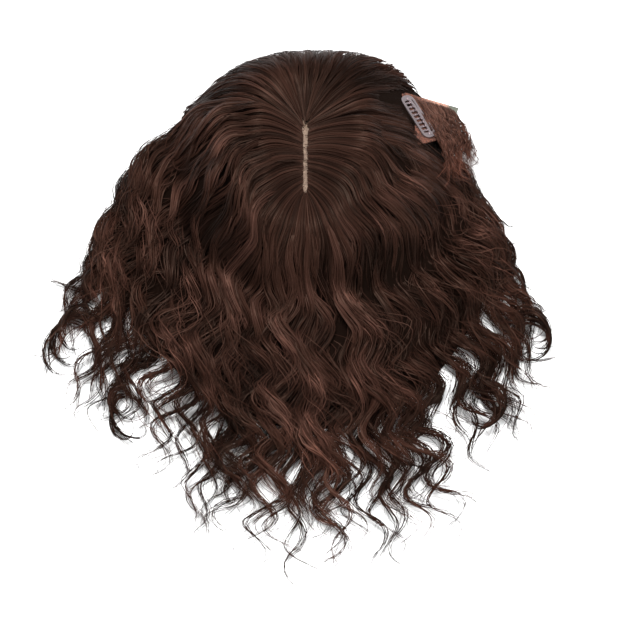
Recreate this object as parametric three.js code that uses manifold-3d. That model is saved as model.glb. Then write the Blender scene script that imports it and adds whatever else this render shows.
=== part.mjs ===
// A clip-in hair topper lying on a table: a domed net base with a parting strip and four snap comb
// clips, and wavy brown hair that fans out from the part in locks. Millimetres, +Z up. The long hair
// points to -Y, and the origin is on the table under the middle of the whole topper.
import * as THREE from "three";
import { mergeVertices } from "three/addons/utils/BufferGeometryUtils.js";
import Module from "manifold-3d";

const wasm = await Module();
wasm.setup();

// The net base. Lengths here and below are measured from the middle of the base.
const baseHalfWidth = 80;
const baseHalfDepth = 77;
const baseHeight = 42;
const baseWall = 1.2;
const baseCornerPower = 2.4; // 2 is an ellipse, more is squarer
const domePower = 2.6; // how late the dome falls to its rim

// The parting strip, which lies on the base.
const partLength = 47;
const partWidth = 7;
const partThickness = 0.8;
const partX = -6;
const partY = -3;

// The net corner that sticks out of the hair at the right rear, a plate round its clip. Its sides are
// measured from the middle line of the clip.
const tabTurn = 29; // bearing of the clip's middle about the middle of the base
const tabShare = 0.92; // how far out that is
const tabSlope = 30; // degrees
const tabInner = 17; // to the side inside the base
const tabRear = 3; // to the outer corner at the rear
const tabFront = 14; // to the one in front
const tabTip = 36; // to the pointed corner between them
const tabTipAt = 1; // how far in front of the clip's middle that is
const tabMargin = 2.5; // past each end of the clip
const tabWall = 1.2;

// The snap comb clips.
const clipLength = 34;
const clipWidth = 10.5;
const clipPlate = 0.9;
const clipRim = 1.7;
const clipTeeth = 8;
const clipToothWidth = 1.3;
const clipToothLength = 5.2;
const clipBowWidth = 1.8;
const clipBowRise = 1.5;
const clipSkew = 1; // how far the one on the tab is turned from lying along the rim
const hiddenClipShare = 0.7; // how far out the three under the base sit
const hiddenClips = [
  { name: "snap_clip_left_rear", turn: 143 },
  { name: "snap_clip_left_front", turn: 217 },
  { name: "snap_clip_right_front", turn: 323 },
];

// The hair.
const hairReach = 272; // from the part to the farthest tips, on the table
const hairAtRoot = 3; // thickness of the hair where it leaves the part
const hairOnDome = 12; // thickness where it is full
const hairSkirt = 11; // how far the full hair stands out from the base's rim
const hairAtRim = 27; // height of the lying hair beside the base
const hairAtEnds = 7; // height of the lying hair near its ends
const hairByClip = 3.5; // thickness and stand-out of the hair beside the bare clip
const hairThinTo = 12; // it is that thin up to here from the middle of the clip,
const hairFullFrom = 42; // and full from here
const windowAtEnds = 3; // from the ends of the bare clip to the hair
const windowInside = 1.2; // from its inner side to the hair
const waves = 5.6; // along the longest hair
const waveSwing = 0.012; // sideways swing of a wave, as a share of the whole fan
const waveLift = 2.2; // up and down swing
const lockRelief = 3.4; // how deep the valleys between locks are
const lockWidth = 12.5; // of a free lock where it starts
const lockHeight = 8;
const lockTip = 1.8;
const lockProfile = [[-0.5, 0], [0.5, 0], [0.3, 1], [-0.3, 1]]; // shares of its width and height
const hookSide = 11; // how far the end of a lock turns aside, and back
const hookBack = 5;
const seatGap = 0.4; // between pieces that lie on each other
const lineWidth = 3.2; // the bare line between the hair on the two sides of the part
const lineEnd = 5; // how far from the ends of the part the hair beyond them starts

// Where the tips lie, from the left rear round the front to the right rear: bearing in degrees about
// the part, reach as a share of hairReach, the direction in which the hair leaves the part, how far
// it keeps that direction as a share of its length, and the direction in which it arrives.
const fan = [
  { share: 0, bearing: 198.5, reach: 0.625, leaves: 136, keeps: 0.73, arrives: 226 },
  { share: 0.1, bearing: 212.5, reach: 0.77, leaves: 154, keeps: 0.66, arrives: 230 },
  { share: 0.22, bearing: 229, reach: 0.825, leaves: 180, keeps: 0.56, arrives: 240 },
  { share: 0.37, bearing: 252, reach: 0.92, leaves: 222, keeps: 0.42, arrives: 257 },
  { share: 0.5, bearing: 270, reach: 1, leaves: 270, keeps: 0.3, arrives: 270 },
  { share: 0.6, bearing: 285, reach: 0.97, leaves: 307, keeps: 0.38, arrives: 284 },
  { share: 0.7, bearing: 300, reach: 0.89, leaves: 334, keeps: 0.46, arrives: 296 },
  { share: 0.82, bearing: 315, reach: 0.8, leaves: 356, keeps: 0.56, arrives: 302 },
  { share: 0.92, bearing: 328, reach: 0.67, leaves: 370, keeps: 0.63, arrives: 307 },
  { share: 1, bearing: 341, reach: 0.56, leaves: 381, keeps: 0.73, arrives: 310 },
];

// The parts of the fan, each a piece of its own.
const sections = [
  { name: "hair_left", from: 0, to: 0.36, locks: 11 },
  { name: "hair_tail", from: 0.36, to: 0.64, locks: 8 },
  { name: "hair_right", from: 0.64, to: 1, locks: 11 },
];

// The hair above the part, which falls over the rear of the base. It keeps to the edges of the fan
// for this share of their length.
const crown = { name: "hair_crown", locks: 10, edgeShare: 0.36 };

const massRows = 18;
const massShare = 0.7; // how far along the hair the locks stay together
const crownRows = 9;
const freeShare = 0.63; // where a free lock starts inside the mass
const freeSteps = 11;
const degree = Math.PI / 180;

const mix = (a, b, t) => a + (b - a) * t;
const clamp = (t) => Math.min(1, Math.max(0, t));
const smooth = (t) => clamp(t) * clamp(t) * (3 - 2 * clamp(t));
const along = (angle, length = 1) =>
  new THREE.Vector2(Math.cos(angle * degree) * length, Math.sin(angle * degree) * length);

// A closed mesh as a solid, and a solid as a geometry.
function solidOf(geometry) {
  const bare = new THREE.BufferGeometry();
  bare.setAttribute("position", geometry.getAttribute("position"));
  bare.setIndex(geometry.getIndex());
  const merged = mergeVertices(bare, 1e-4);
  return new wasm.Manifold(
    new wasm.Mesh({
      numProp: 3,
      vertProperties: merged.attributes.position.array,
      triVerts: new Uint32Array(merged.index.array),
    }),
  );
}

function geometryOf(solid) {
  const mesh = solid.getMesh();
  const geometry = new THREE.BufferGeometry();
  geometry.setAttribute("position", new THREE.BufferAttribute(mesh.vertProperties, mesh.numProp));
  geometry.setIndex(new THREE.BufferAttribute(mesh.triVerts, 1));
  return geometry;
}

// The largest body of a solid, with any pocket sealed inside it filled.
const onePiece = (solid) =>
  solid.decompose().reduce((most, part) => (part.volume() > most.volume() ? part : most));

function solidFrom(points, faces) {
  const geometry = new THREE.BufferGeometry();
  const flat = points.flatMap((p) => [p.x, p.y, p.z]);
  geometry.setAttribute("position", new THREE.Float32BufferAttribute(flat, 3));
  geometry.setIndex(faces);
  return solidOf(geometry);
}

// How far out a place is on a rounded dome with these half widths: 0 at its middle, 1 at its rim.
function domeShare(x, y, halfWidth, halfDepth) {
  const sum =
    Math.abs(x / halfWidth) ** baseCornerPower + Math.abs(y / halfDepth) ** baseCornerPower;
  return sum ** (1 / baseCornerPower);
}

const domeFall = (share) => Math.sqrt(Math.max(0, 1 - Math.min(1, share) ** domePower));

// The outer face of the base, grown by an offset.
function baseTop(x, y, offset = 0) {
  const share = domeShare(x, y, baseHalfWidth + offset, baseHalfDepth + offset);
  return (baseHeight + offset) * domeFall(share);
}

// A solid dome of the base's form, grown by an offset, whose flat foot is at the height floor.
function dome(offset, floor = 0) {
  const turns = 32;
  const rings = [0.3, 0.52, 0.7, 0.83, 0.92, 0.98, 1];
  const points = [new THREE.Vector3(0, 0, baseHeight + offset)];
  for (const ring of rings) {
    for (let i = 0; i < turns; i++) {
      const way = along((360 * i) / turns);
      const rim = 1 / domeShare(way.x, way.y, baseHalfWidth + offset, baseHalfDepth + offset);
      const height = (baseHeight + offset) * domeFall(ring);
      points.push(new THREE.Vector3(way.x * rim * ring, way.y * rim * ring, height));
    }
  }
  if (floor < 0) {
    for (let i = 0; i < turns; i++) {
      points.push(points[points.length - turns].clone().setZ(floor));
    }
  }
  const levels = (points.length - 1) / turns;
  const faces = [];
  for (let i = 0; i < turns; i++) {
    const next = (i + 1) % turns;
    faces.push(0, 1 + i, 1 + next);
    for (let level = 0; level + 1 < levels; level++) {
      const inner = 1 + level * turns;
      const outer = inner + turns;
      faces.push(inner + i, outer + i, outer + next, inner + i, outer + next, inner + next);
    }
  }
  const foot = points.length - turns;
  for (let i = 1; i + 1 < turns; i++) {
    faces.push(foot, foot + i + 1, foot + i);
  }
  return solidFrom(points, faces);
}

// A prism over a flat outline, from one height to another.
function prism(outline, low, high) {
  const shape = new THREE.Shape(outline);
  const geometry = new THREE.ExtrudeGeometry(shape, { depth: high - low, bevelEnabled: false });
  return solidOf(geometry.translate(0, 0, low));
}

// A place on a dome of the base's half widths, at a bearing and a share of the way to its rim.
function onBase(turn, share) {
  const way = along(turn);
  return way.multiplyScalar(share / domeShare(way.x, way.y, baseHalfWidth, baseHalfDepth));
}

// The frame of the corner tab: its origin under the clip's middle, x along the clip, y outwards.
const clipTurn = tabTurn - 90 + clipSkew;
const clipMiddle = onBase(tabTurn, tabShare);

function tabFrame() {
  const [way, out] = [along(clipTurn), along(clipTurn + 90, Math.cos(tabSlope * degree))];
  const inner = clipMiddle.clone().addScaledVector(out, -tabInner);
  const fall = Math.sin(tabSlope * degree);
  const height = baseTop(inner.x, inner.y) - tabWall - fall * tabInner;
  const x = new THREE.Vector3(way.x, way.y, 0);
  const y = new THREE.Vector3(out.x, out.y, -fall);
  const frame = new THREE.Matrix4().makeBasis(x, y, x.clone().cross(y));
  return frame.setPosition(clipMiddle.x, clipMiddle.y, height);
}

function cornerTab(grow = 0) {
  const end = clipLength / 2 + tabMargin + grow;
  const inner = [[-end, -tabInner - grow], [end, -tabInner - grow]];
  const outer = [[end, tabFront + grow], [tabTipAt, tabTip + grow], [-end, tabRear + grow]];
  const outline = [...inner, ...outer].map(([x, y]) => new THREE.Vector2(x, y));
  const plate = new THREE.ExtrudeGeometry(new THREE.Shape(outline), {
    depth: tabWall + 2 * grow,
    bevelEnabled: false,
  });
  return solidOf(plate.translate(0, 0, -grow).applyMatrix4(tabFrame()));
}

function laceBase() {
  const tab = cornerTab();
  return dome(0).add(tab).subtract(dome(-baseWall, -1));
}

function partPrism(grow) {
  const x = partWidth / 2 + grow;
  const y = partLength / 2 + grow;
  const outline = [
    new THREE.Vector2(partX - x, partY - y),
    new THREE.Vector2(partX + x, partY - y),
    new THREE.Vector2(partX + x, partY + y),
    new THREE.Vector2(partX - x, partY + y),
  ];
  return prism(outline, 0, 2 * baseHeight);
}

function partingStrip() {
  return dome(seatGap + partThickness).subtract(dome(seatGap, -1)).intersect(partPrism(0));
}

// The room that the parting strip needs under the hair.
const partRoom = () => dome(2 * seatGap + partThickness).intersect(partPrism(seatGap));

// A snap comb clip, lying flat with its bow up: a stamped frame, the comb's teeth and the bow.
function snapClip() {
  const x = clipLength / 2;
  const y = clipWidth / 2;
  const corner = y * 0.8;
  const outline = new THREE.Shape();
  outline.moveTo(-x + corner, -y);
  outline.lineTo(x - corner, -y);
  outline.absarc(x - corner, -y + corner, corner, -Math.PI / 2, 0);
  outline.lineTo(x, y - corner);
  outline.absarc(x - corner, y - corner, corner, 0, Math.PI / 2);
  outline.lineTo(-x + corner, y);
  outline.absarc(-x + corner, y - corner, corner, Math.PI / 2, Math.PI);
  outline.lineTo(-x, -y + corner);
  outline.absarc(-x + corner, -y + corner, corner, Math.PI, 1.5 * Math.PI);
  const window = new THREE.Path();
  window.moveTo(-x + corner, -y + clipRim);
  window.lineTo(-x + 2 * clipRim, y - clipRim - corner / 2);
  window.lineTo(-x + corner, y - clipRim);
  window.lineTo(x - corner, y - clipRim);
  window.lineTo(x - 2 * clipRim, y - clipRim - corner / 2);
  window.lineTo(x - corner, -y + clipRim);
  outline.holes.push(window);
  const flat = { depth: clipPlate, bevelEnabled: false, curveSegments: 2 };
  let clip = solidOf(new THREE.ExtrudeGeometry(outline, flat));
  const pitch = (clipLength - 2 * corner) / clipTeeth;
  for (let i = 0; i < clipTeeth; i++) {
    const tooth = new THREE.BoxGeometry(clipToothWidth, clipToothLength, clipPlate * 0.9);
    const at = -x + corner + pitch * (i + 0.5);
    tooth.translate(at, -y + clipRim / 2 + clipToothLength / 2, clipPlate / 2);
    clip = clip.add(solidOf(tooth));
  }
  const bow = new THREE.Shape();
  bow.moveTo(-x + clipRim, clipPlate / 2);
  bow.quadraticCurveTo(0, clipPlate / 2 + 2 * clipBowRise, x - clipRim, clipPlate / 2);
  bow.lineTo(x - clipRim, clipPlate * 1.4);
  bow.quadraticCurveTo(0, clipPlate * 1.4 + 2 * clipBowRise, -x + clipRim, clipPlate * 1.4);
  const bar = new THREE.ExtrudeGeometry(bow, {
    depth: clipBowWidth,
    bevelEnabled: false,
    curveSegments: 5,
  });
  bar.rotateX(Math.PI / 2);
  bar.translate(0, clipBowWidth / 2 + clipRim / 2, 0);
  return clip.add(solidOf(bar));
}

// A clip's place: its middle, the direction of its length and the way its bow faces.
function frameAt(middle, length, face) {
  const z = face.clone().normalize();
  const x = length.clone().addScaledVector(z, -length.dot(z)).normalize();
  const turned = new THREE.Matrix4().makeBasis(x, z.clone().cross(x), z);
  return turned.setPosition(middle);
}

const clipOnTab = () =>
  tabFrame().multiply(new THREE.Matrix4().makeTranslation(0, 0, tabWall + seatGap));

// A clip under the base at a bearing, moved in from the dome until all its corners are clear of it.
function clipInBase(turn) {
  const { x, y } = onBase(turn, hiddenClipShare);
  const slope = (dx, dy) => (baseTop(x + dx, y + dy) - baseTop(x - dx, y - dy)) / 2;
  const face = new THREE.Vector3(slope(1, 0), slope(0, 1), -1).normalize();
  const middle = new THREE.Vector3(x, y, baseTop(x, y));
  const side = new THREE.Vector3(-y, x, 0);
  const corners = [-1, 1].flatMap((a) => [-1, 1].map((b) => [a, b]));
  const isClear = (place) =>
    corners.every(([a, b]) => {
      const corner = new THREE.Vector3((a * clipLength) / 2, (b * clipWidth) / 2, 0);
      corner.applyMatrix4(place);
      return corner.z < baseTop(corner.x, corner.y, -baseWall - seatGap);
    });
  let place = frameAt(middle, side, face);
  for (let step = 0; step < baseHeight && !isClear(place); step += 0.1) {
    place = frameAt(middle.addScaledVector(face, 0.1), side, face);
  }
  return place;
}

// Where the hair lies. A way is a place along the fan, from 0 at the left rear to 1 at the right rear.
function fanAt(way) {
  const next = Math.max(1, fan.findIndex((row) => row.share >= clamp(way)));
  const [a, b] = [fan[next - 1], fan[next]];
  const t = (way - a.share) / (b.share - a.share);
  const ease = mix(t, smooth(t), 0.4);
  const row = {};
  for (const key of ["bearing", "reach", "leaves", "keeps", "arrives"]) {
    row[key] = mix(a[key], b[key], ease);
  }
  return row;
}

const partTop = partY + partLength / 2;
const partFoot = partY - partLength / 2 + lineEnd;

// A place round an end of the part, at a turn in degrees.
const aroundEnd = (y, turn) => {
  const way = along(turn);
  return new THREE.Vector2(partX + (way.x * lineWidth) / 2, y + way.y * lineEnd);
};

function rootOf(way) {
  const [left, right] = [sections[0].to, sections[2].from];
  if (way <= left) return aroundEnd(mix(partTop, partFoot, way / left), 180);
  if (way >= right) return aroundEnd(mix(partFoot, partTop, (way - right) / (1 - right)), 0);
  return aroundEnd(partFoot, mix(180, 360, (way - left) / (right - left)));
}

function bezier(root, leaves, kept, tip, arrives, eased, share) {
  const out = root.clone().add(along(leaves, kept));
  const back = tip.clone().sub(along(arrives, eased));
  return new THREE.CubicBezierCurve(root, out, back, tip).getPoint(share);
}

// The middle line of the hair at a way, without its waves, at a share of its length.
function lineAt(way, share) {
  const row = fanAt(way);
  const root = rootOf(way);
  const tip = new THREE.Vector2(partX, partY).add(along(row.bearing, row.reach * hairReach));
  const chord = tip.distanceTo(root);
  return bezier(root, row.leaves, chord * row.keeps, tip, row.arrives, chord * 0.34, share);
}

// Height of the hair's top at a place, where it is this share along its length.
function hairTop(x, y, share, lies = 1) {
  const fromClip = clipMiddle.distanceTo(new THREE.Vector2(x, y));
  const far = smooth((fromClip - hairThinTo) / (hairFullFrom - hairThinTo));
  const full = mix(hairByClip, mix(hairAtRoot, hairOnDome, smooth(share / 0.2)), far);
  const skirt = mix(hairByClip, hairSkirt, far);
  const place = domeShare(x, y, baseHalfWidth + skirt, baseHalfDepth + skirt);
  const over = (baseHeight + seatGap + full) * domeFall(place);
  const lying = mix(hairAtEnds, hairAtRim, (1 - clamp(share)) ** 1.3) * smooth(share / 0.15) * far;
  return (over ** 4 + (lying * lies) ** 4) ** (1 / 4);
}

const wavePhase = (way, share) =>
  2 * Math.PI * (waves * share * Math.sqrt(fanAt(way).reach) + 0.8 * Math.sin(4.2 * way + 0.5));

const waveGrowth = (share) => smooth((share - 0.12) / 0.4);

// A place in the hair, with the waves, which swing along the fan so that hairs never cross.
function placeAt(way, share, swing = 1) {
  const ends = smooth(way / 0.07) * smooth((1 - way) / 0.07);
  const swung = waveSwing * waveGrowth(share) * ends * swing * Math.sin(wavePhase(way, share));
  return lineAt(way + swung, share);
}

const liftAt = (way, share) => waveLift * waveGrowth(share) * Math.cos(wavePhase(way, share));

const areaOf = (points, a, b, c) =>
  THREE.ShapeUtils.area([points[a], points[b], points[c]]);

// A solid under a grid of columns of points, down to the table.
function mound(columns) {
  const rows = columns[0].length;
  const points = columns.flat();
  const faces = [];
  const at = (column, row) => column * rows + row;
  for (let c = 0; c + 1 < columns.length; c++) {
    for (let r = 0; r + 1 < rows; r++) {
      const [a, b, d, e] = [at(c, r), at(c, r + 1), at(c + 1, r + 1), at(c + 1, r)];
      if (Math.min(areaOf(points, a, b, d), areaOf(points, a, d, e)) > 0) {
        faces.push(a, b, d, a, d, e);
      } else {
        faces.push(a, b, e, b, d, e);
      }
    }
  }
  const rim = [];
  for (let r = 0; r < rows; r++) rim.push(at(0, r));
  for (let c = 1; c < columns.length; c++) rim.push(at(c, rows - 1));
  for (let r = rows - 2; r >= 0; r--) rim.push(at(columns.length - 1, r));
  for (let c = columns.length - 2; c > 0; c--) rim.push(at(c, 0));
  const foot = points.length;
  rim.forEach((top) => points.push(points[top].clone().setZ(0)));
  rim.forEach((top, i) => {
    const j = (i + 1) % rim.length;
    faces.push(top, foot + i, foot + j, top, foot + j, rim[j]);
  });
  const outline = rim.map((top) => new THREE.Vector2(points[top].x, points[top].y));
  for (const [a, b, c] of THREE.ShapeUtils.triangulateShape(outline, [])) {
    faces.push(foot + a, foot + c, foot + b);
  }
  return solidFrom(points, faces);
}

// Columns across a number of locks: each lock has a valley and two crests.
function lockColumns(locks) {
  const columns = [];
  for (let lock = 0; lock < locks; lock++) {
    columns.push(
      { place: lock, crest: 0 },
      { place: lock + 0.32, crest: 1 },
      { place: lock + 0.7, crest: 0.85 },
    );
  }
  columns.push({ place: locks, crest: 0 });
  return columns;
}

// The part of a section where its locks lie side by side.
function massOf(section) {
  const { from, to, locks } = section;
  return mound(
    lockColumns(locks).map(({ place, crest }) => {
      const way = mix(from, to, place / locks);
      const edge = place === 0 ? 1 : place === locks ? -1 : 0;
      return Array.from({ length: massRows }, (_, row) => {
        const share = (massShare * row) / (massRows - 1);
        const p = placeAt(way, share);
        const inwards = placeAt(way + edge * 0.002, share).sub(p).setLength(seatGap * 0.8);
        if (edge) p.add(inwards);
        const dip = lockRelief * (1 - crest) * smooth(share / 0.3);
        const last = row === massRows - 1 ? 0.55 : 1;
        const top = (hairTop(p.x, p.y, share) + liftAt(way, share) - dip) * last;
        return new THREE.Vector3(p.x, p.y, Math.max(1, top));
      });
    }),
  );
}

// A tapered lock along a row of stations on the table, each with its own width and height.
function lockAlong(stations) {
  const points = [];
  stations.forEach((s, i) => {
    const before = stations[Math.max(0, i - 1)];
    const after = stations[Math.min(stations.length - 1, i + 1)];
    const side = new THREE.Vector2(-(after.y - before.y), after.x - before.x).normalize();
    for (const [across, up] of lockProfile) {
      const reach = across * s.width;
      points.push(new THREE.Vector3(s.x + side.x * reach, s.y + side.y * reach, up * s.height));
    }
  });
  const faces = [];
  const sides = lockProfile.length;
  const last = (stations.length - 1) * sides;
  for (let k = 0; k < sides; k++) {
    const next = (k + 1) % sides;
    for (let i = 0; i + 1 < stations.length; i++) {
      const a = i * sides;
      const b = a + sides;
      faces.push(a + k, b + next, b + k, a + k, a + next, b + next);
    }
    if (k > 0 && next > 0) faces.push(0, next, k, last, last + k, last + next);
  }
  return solidFrom(points, faces);
}

// The free end of one of a section's locks, which leaves the mass and curls on the table.
function freeLock(section, index) {
  const way = mix(section.from, section.to, (index + 0.5) / section.locks);
  const edge = Math.min(index, section.locks - 1 - index);
  const free = edge > 0 ? 1 : 0.3; // a lock beside the next section keeps in step with it
  const uneven = Math.sin(7.3 * index + 40 * section.from);
  const length = 1 + 0.05 * uneven * free;
  const turn = Math.sin(12.9 * index + 31 * section.from) > 0 ? 1 : -1;
  const stations = [];
  for (let i = 0; i <= freeSteps; i++) {
    const t = i / freeSteps;
    const share = mix(freeShare, length, t);
    const p = placeAt(way, share, mix(1, 1.5, t * free));
    const ahead = lineAt(way, share).sub(lineAt(way, share - 0.01)).normalize();
    const hook = smooth((t - 0.72) / 0.28) * free;
    p.x += hook * (-ahead.y * hookSide * turn - ahead.x * hookBack);
    p.y += hook * (ahead.x * hookSide * turn - ahead.y * hookBack);
    const taper = (1 - t) ** 0.6;
    const inMass = hairTop(p.x, p.y, share) * 0.75;
    const height = mix(inMass, mix(lockTip, lockHeight, taper), smooth(t * 1.6));
    stations.push({ x: p.x, y: p.y, width: mix(lockTip, lockWidth, taper), height });
  }
  return lockAlong(stations);
}

// The ground that a section keeps to, between its borders with the next ones.
function sectorOf({ from, to }) {
  const rows = Math.ceil((1.25 * (massRows - 1)) / massShare);
  const border = (way, inwards) =>
    Array.from({ length: rows }, (_, row) => {
      const p = placeAt(way, (massShare * row) / (massRows - 1));
      const next = placeAt(way + inwards, (massShare * row) / (massRows - 1));
      return p.add(next.sub(p).setLength(seatGap * 0.5));
    });
  const far = 2 * hairReach;
  const left = from > 0 ? border(from, 0.002) : [];
  const right = to < 1 ? border(to, -0.002) : [];
  const corners = (x) => [new THREE.Vector2(x, far), new THREE.Vector2(x, -far)];
  const behind = new THREE.Vector2(partX, far);
  if (from === 0) left.push(behind, ...corners(-far));
  if (to === 1) right.push(behind, ...corners(far));
  return prism([...left, ...right.reverse()], 0, 2 * baseHeight);
}

function hairSection(section, cut) {
  const mass = massOf(section);
  let locks = freeLock(section, 0);
  for (let i = 1; i < section.locks; i++) {
    locks = locks.add(freeLock(section, i));
  }
  return onePiece(mass.add(locks.intersect(sectorOf(section))).subtract(cut));
}

// The edges of the hair above the part, which are the edges of the fan as far as the base's rim.
const crownEdges = [1, 0].map((way) => (f) => placeAt(way, crown.edgeShare * f));

// A place in the hair above the part: t goes round it from the right to the left, f outwards.
function crownAt(t, f) {
  const [right, left] = crownEdges;
  const outer = [right(1), left(1)];
  const turn = mix(outer[0].angle(), outer[1].angle(), t) / degree;
  const rimAt = (way) => 1 / domeShare(way.x, way.y, baseHalfWidth, baseHalfDepth);
  const far = outer.map((corner) => corner.length() / rimAt(corner.clone().normalize()));
  const full = 0.97 * (1 + hairSkirt / baseHalfWidth);
  const out = mix(mix(far[0], far[1], t), full, smooth(5 * Math.min(t, 1 - t)));
  const rim = along(turn).multiplyScalar(rimAt(along(turn)) * out);
  const p = right(f).lerp(left(f), t);
  p.add(aroundEnd(partTop, 180 * t).lerp(rim, f));
  return p.sub(right(0).lerp(right(1), f).lerp(left(0).lerp(left(1), f), t));
}

// The hair that falls over the rear of the base, from the top end of the part to the table.
function crownMass() {
  return mound(
    lockColumns(crown.locks).map(({ place, crest }) => {
      const t = place / crown.locks;
      const edge = place === 0 ? 1 : place === crown.locks ? -1 : 0;
      const lies = Math.abs(2 * t - 1) ** 3;
      return Array.from({ length: crownRows }, (_, row) => {
        const f = Math.sin(((row / (crownRows - 1)) * Math.PI) / 2);
        const p = crownAt(t, f);
        const inwards = crownAt(t + edge * 0.01, f).sub(p).setLength(seatGap * 0.8);
        if (edge) p.add(inwards);
        const dip = lockRelief * 0.5 * (1 - crest) * smooth(f / 0.5);
        return new THREE.Vector3(p.x, p.y, Math.max(1, hairTop(p.x, p.y, f * 0.4, lies) - dip));
      });
    }),
  );
}

// The bare window in the hair over the corner tab and its clip: its inner side runs along the clip.
function clipWindow() {
  const length = along(clipTurn, clipLength / 2 + windowAtEnds);
  const inward = along(clipTurn - 90, clipWidth / 2 + windowInside);
  const outward = along(clipTurn + 90, baseHalfWidth);
  const inner = [clipMiddle.clone().add(length), clipMiddle.clone().sub(length)];
  const outline = inner.map((corner) => corner.clone().add(inward));
  const far = inner.map((corner) => corner.clone().add(outward));
  return prism([outline[0], far[0], far[1], outline[1]], -1, 2 * baseHeight);
}

const group = new THREE.Group();

function addPiece(name, solid, material, place) {
  const mesh = new THREE.Mesh(geometryOf(solid), material);
  mesh.name = name;
  if (place) mesh.applyMatrix4(place);
  group.add(mesh);
}

const lace = new THREE.MeshStandardMaterial({ color: 0x4a2c22, roughness: 0.8 });
const skin = new THREE.MeshStandardMaterial({ color: 0xb09880, roughness: 0.7 });
const metal = new THREE.MeshStandardMaterial({ color: 0xc9c5cc, roughness: 0.25, metalness: 1 });
const hairColour = new THREE.MeshStandardMaterial({ color: 0x2e1c18, roughness: 0.5 });

addPiece("lace_base", laceBase(), lace);
addPiece("parting_strip", partingStrip(), skin);

// The clip on the tab lies on its upper face; the other three lie inside the base, teeth inwards.
addPiece("snap_clip_right_rear", snapClip(), metal, clipOnTab());
for (const { name, turn } of hiddenClips) {
  addPiece(name, snapClip(), metal, clipInBase(turn));
}

const clearance = dome(seatGap, -1).add(cornerTab(seatGap)).add(partRoom());
for (const section of sections) {
  addPiece(section.name, hairSection(section, clearance.add(clipWindow())), hairColour);
}
addPiece(crown.name, onePiece(crownMass().subtract(clearance.add(clipWindow()))), hairColour);

// The origin moves to the table under the middle of the whole topper.
const box = new THREE.Box3().setFromObject(group);
const middle = box.getCenter(new THREE.Vector3());
group.position.set(-middle.x, -middle.y, -box.min.z);
group.updateMatrixWorld(true);

export default group;
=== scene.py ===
import bmesh
import bpy
import numpy as np
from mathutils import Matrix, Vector


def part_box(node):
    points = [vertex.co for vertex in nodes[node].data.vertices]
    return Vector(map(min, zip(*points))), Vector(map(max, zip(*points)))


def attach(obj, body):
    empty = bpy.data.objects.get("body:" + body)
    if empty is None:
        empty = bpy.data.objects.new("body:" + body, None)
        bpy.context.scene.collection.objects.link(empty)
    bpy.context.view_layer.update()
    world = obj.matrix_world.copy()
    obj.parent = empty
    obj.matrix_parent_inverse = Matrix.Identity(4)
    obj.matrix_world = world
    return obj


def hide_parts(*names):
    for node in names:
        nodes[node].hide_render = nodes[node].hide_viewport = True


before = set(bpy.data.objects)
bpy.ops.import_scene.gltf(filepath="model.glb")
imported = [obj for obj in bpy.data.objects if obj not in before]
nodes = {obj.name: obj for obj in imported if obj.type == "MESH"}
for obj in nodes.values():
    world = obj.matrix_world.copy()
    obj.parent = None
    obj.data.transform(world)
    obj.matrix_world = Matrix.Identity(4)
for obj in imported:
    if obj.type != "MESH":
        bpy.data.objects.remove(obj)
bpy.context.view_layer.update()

chance = np.random.default_rng(71)


def mix(a, b, t):
    return a + (b - a) * t


def smooth(t):
    t = np.clip(t, 0, 1)
    return t * t * (3 - 2 * t)


def spread(low, high, *size):
    return chance.uniform(low, high, size)


def along(turn, length=1.0):
    turn = np.radians(turn)
    return np.stack([np.cos(turn) * length, np.sin(turn) * length], -1)


def lengthOf(flat):
    return np.sqrt((flat ** 2).sum(-1))


def unit(flat):
    return flat / np.maximum(lengthOf(flat), 1e-9)[..., None]


# Where the hair lies, as in the frame's own solids. Metres from the middle of the base.
base = {"halfWidth": 0.080, "halfDepth": 0.077, "height": 0.042, "corner": 2.4, "fall": 2.6}
part = {"x": -0.006, "y": -0.003, "length": 0.047, "line": 0.0032, "end": 0.005}
tab = {
    "turn": 29, "share": 0.92, "slope": 30, "inner": 0.017, "end": 0.0195, "rear": 0.003,
    "tip": 0.036, "edge": 0.001, "clipTurn": -60, "clipLength": 0.034, "clipWidth": 0.0105,
    "bareRound": 0.012, "fullAfter": 0.03, "atFoot": -0.002, "atHead": 0.003, "beside": 0.0008,
}
flow = {
    "reach": 0.272, "waves": 5.6, "swing": 0.012, "lift": 0.0022, "onDome": 0.012,
    "atRoot": 0.003, "skirt": 0.011, "byClip": 0.0035, "atRim": 0.027, "atEnds": 0.007,
    "crownEdge": 0.36, "crownRim": 0.97, "crownFall": 0.035, "stillEdge": 0.07,
    "patch": 0.05, "patchX": -0.008, "patchY": -0.152, "patchHeight": 0.0107,
    "overNet": 0.0014, "clear": 0.0009, "onTable": 0.0012, "lowest": 0.0003,
}
# way along the fan, bearing and reach of the tips, direction out of the part and how far
# the hair keeps it, and direction of arrival
fan = np.array([
    (0, 209, 0.63, 136, 0.71, 238), (0.1, 215.5, 0.775, 154, 0.63, 230),
    (0.22, 229, 0.825, 180, 0.54, 236), (0.37, 252, 0.92, 222, 0.42, 257),
    (0.5, 270, 1, 270, 0.3, 270), (0.6, 285, 0.97, 307, 0.38, 284),
    (0.7, 300, 0.89, 334, 0.46, 296), (0.82, 315, 0.8, 356, 0.55, 304),
    (0.92, 325.5, 0.7, 370, 0.62, 308), (1, 331, 0.6, 381, 0.74, 302),
])
sections = {"hair_left": (0, 0.36), "hair_tail": (0.36, 0.64), "hair_right": (0.64, 1)}
partTop = part["y"] + part["length"] / 2
partFoot = part["y"] - part["length"] / 2 + part["end"]

stripLow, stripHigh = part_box("parting_strip")
baseMiddle = np.array([
    (stripLow.x + stripHigh.x) / 2 - part["x"],
    (stripLow.y + stripHigh.y) / 2 - part["y"],
])


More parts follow.
